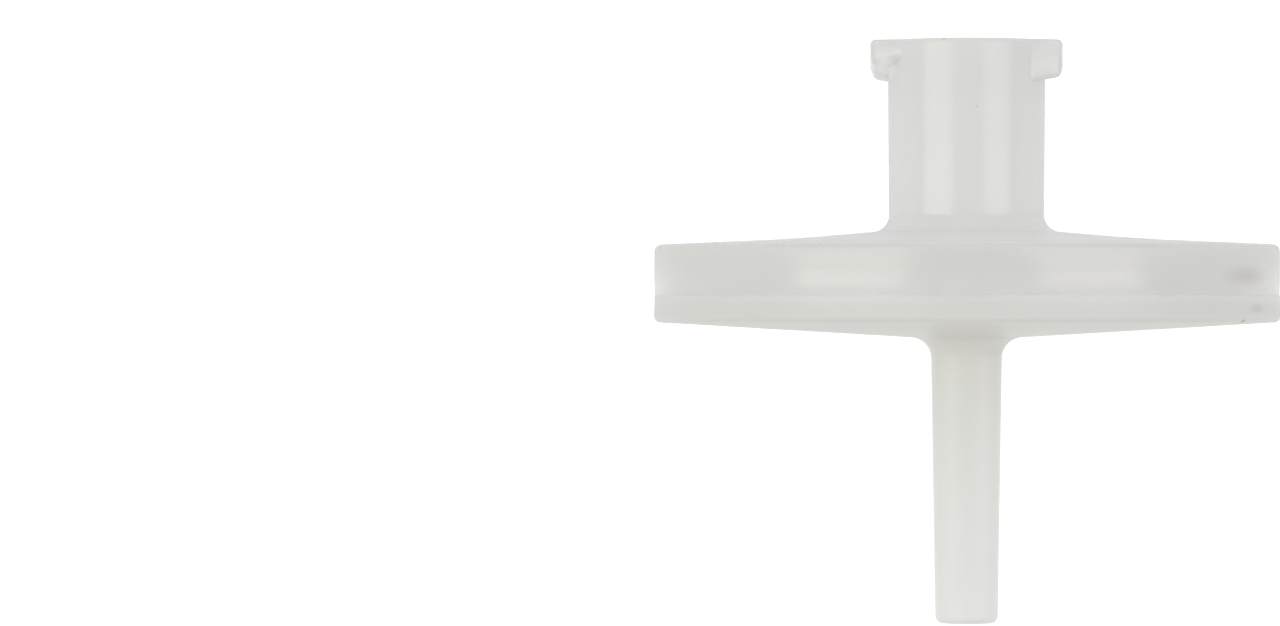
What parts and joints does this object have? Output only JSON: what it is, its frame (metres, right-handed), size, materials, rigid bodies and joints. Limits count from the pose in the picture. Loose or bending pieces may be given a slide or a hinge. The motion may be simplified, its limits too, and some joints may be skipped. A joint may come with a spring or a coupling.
{
  "type": "syringe filter",
  "caption": "Disc-shaped syringe filter with a female luer lock inlet hub, a clamped membrane and a slip outlet tube, in milky natural polypropylene.",
  "frame": {"origin": "centre of the inlet hub's end face, on which the filter stands", "axes": "+Z along the filter's axis from the inlet to the outlet, +X through the middle of one luer lock lug"},
  "size_m": [0.0254, 0.0254, 0.0236],
  "materials": {
    "natural_polypropylene": "milky translucent, satin as moulded",
    "white_membrane": "matt white, microporous"
  },
  "bodies": {
    "root": {"inlet_housing": "natural_polypropylene", "filter_membrane": "white_membrane", "outlet_housing": "natural_polypropylene"}
  },
  "joints": []
}
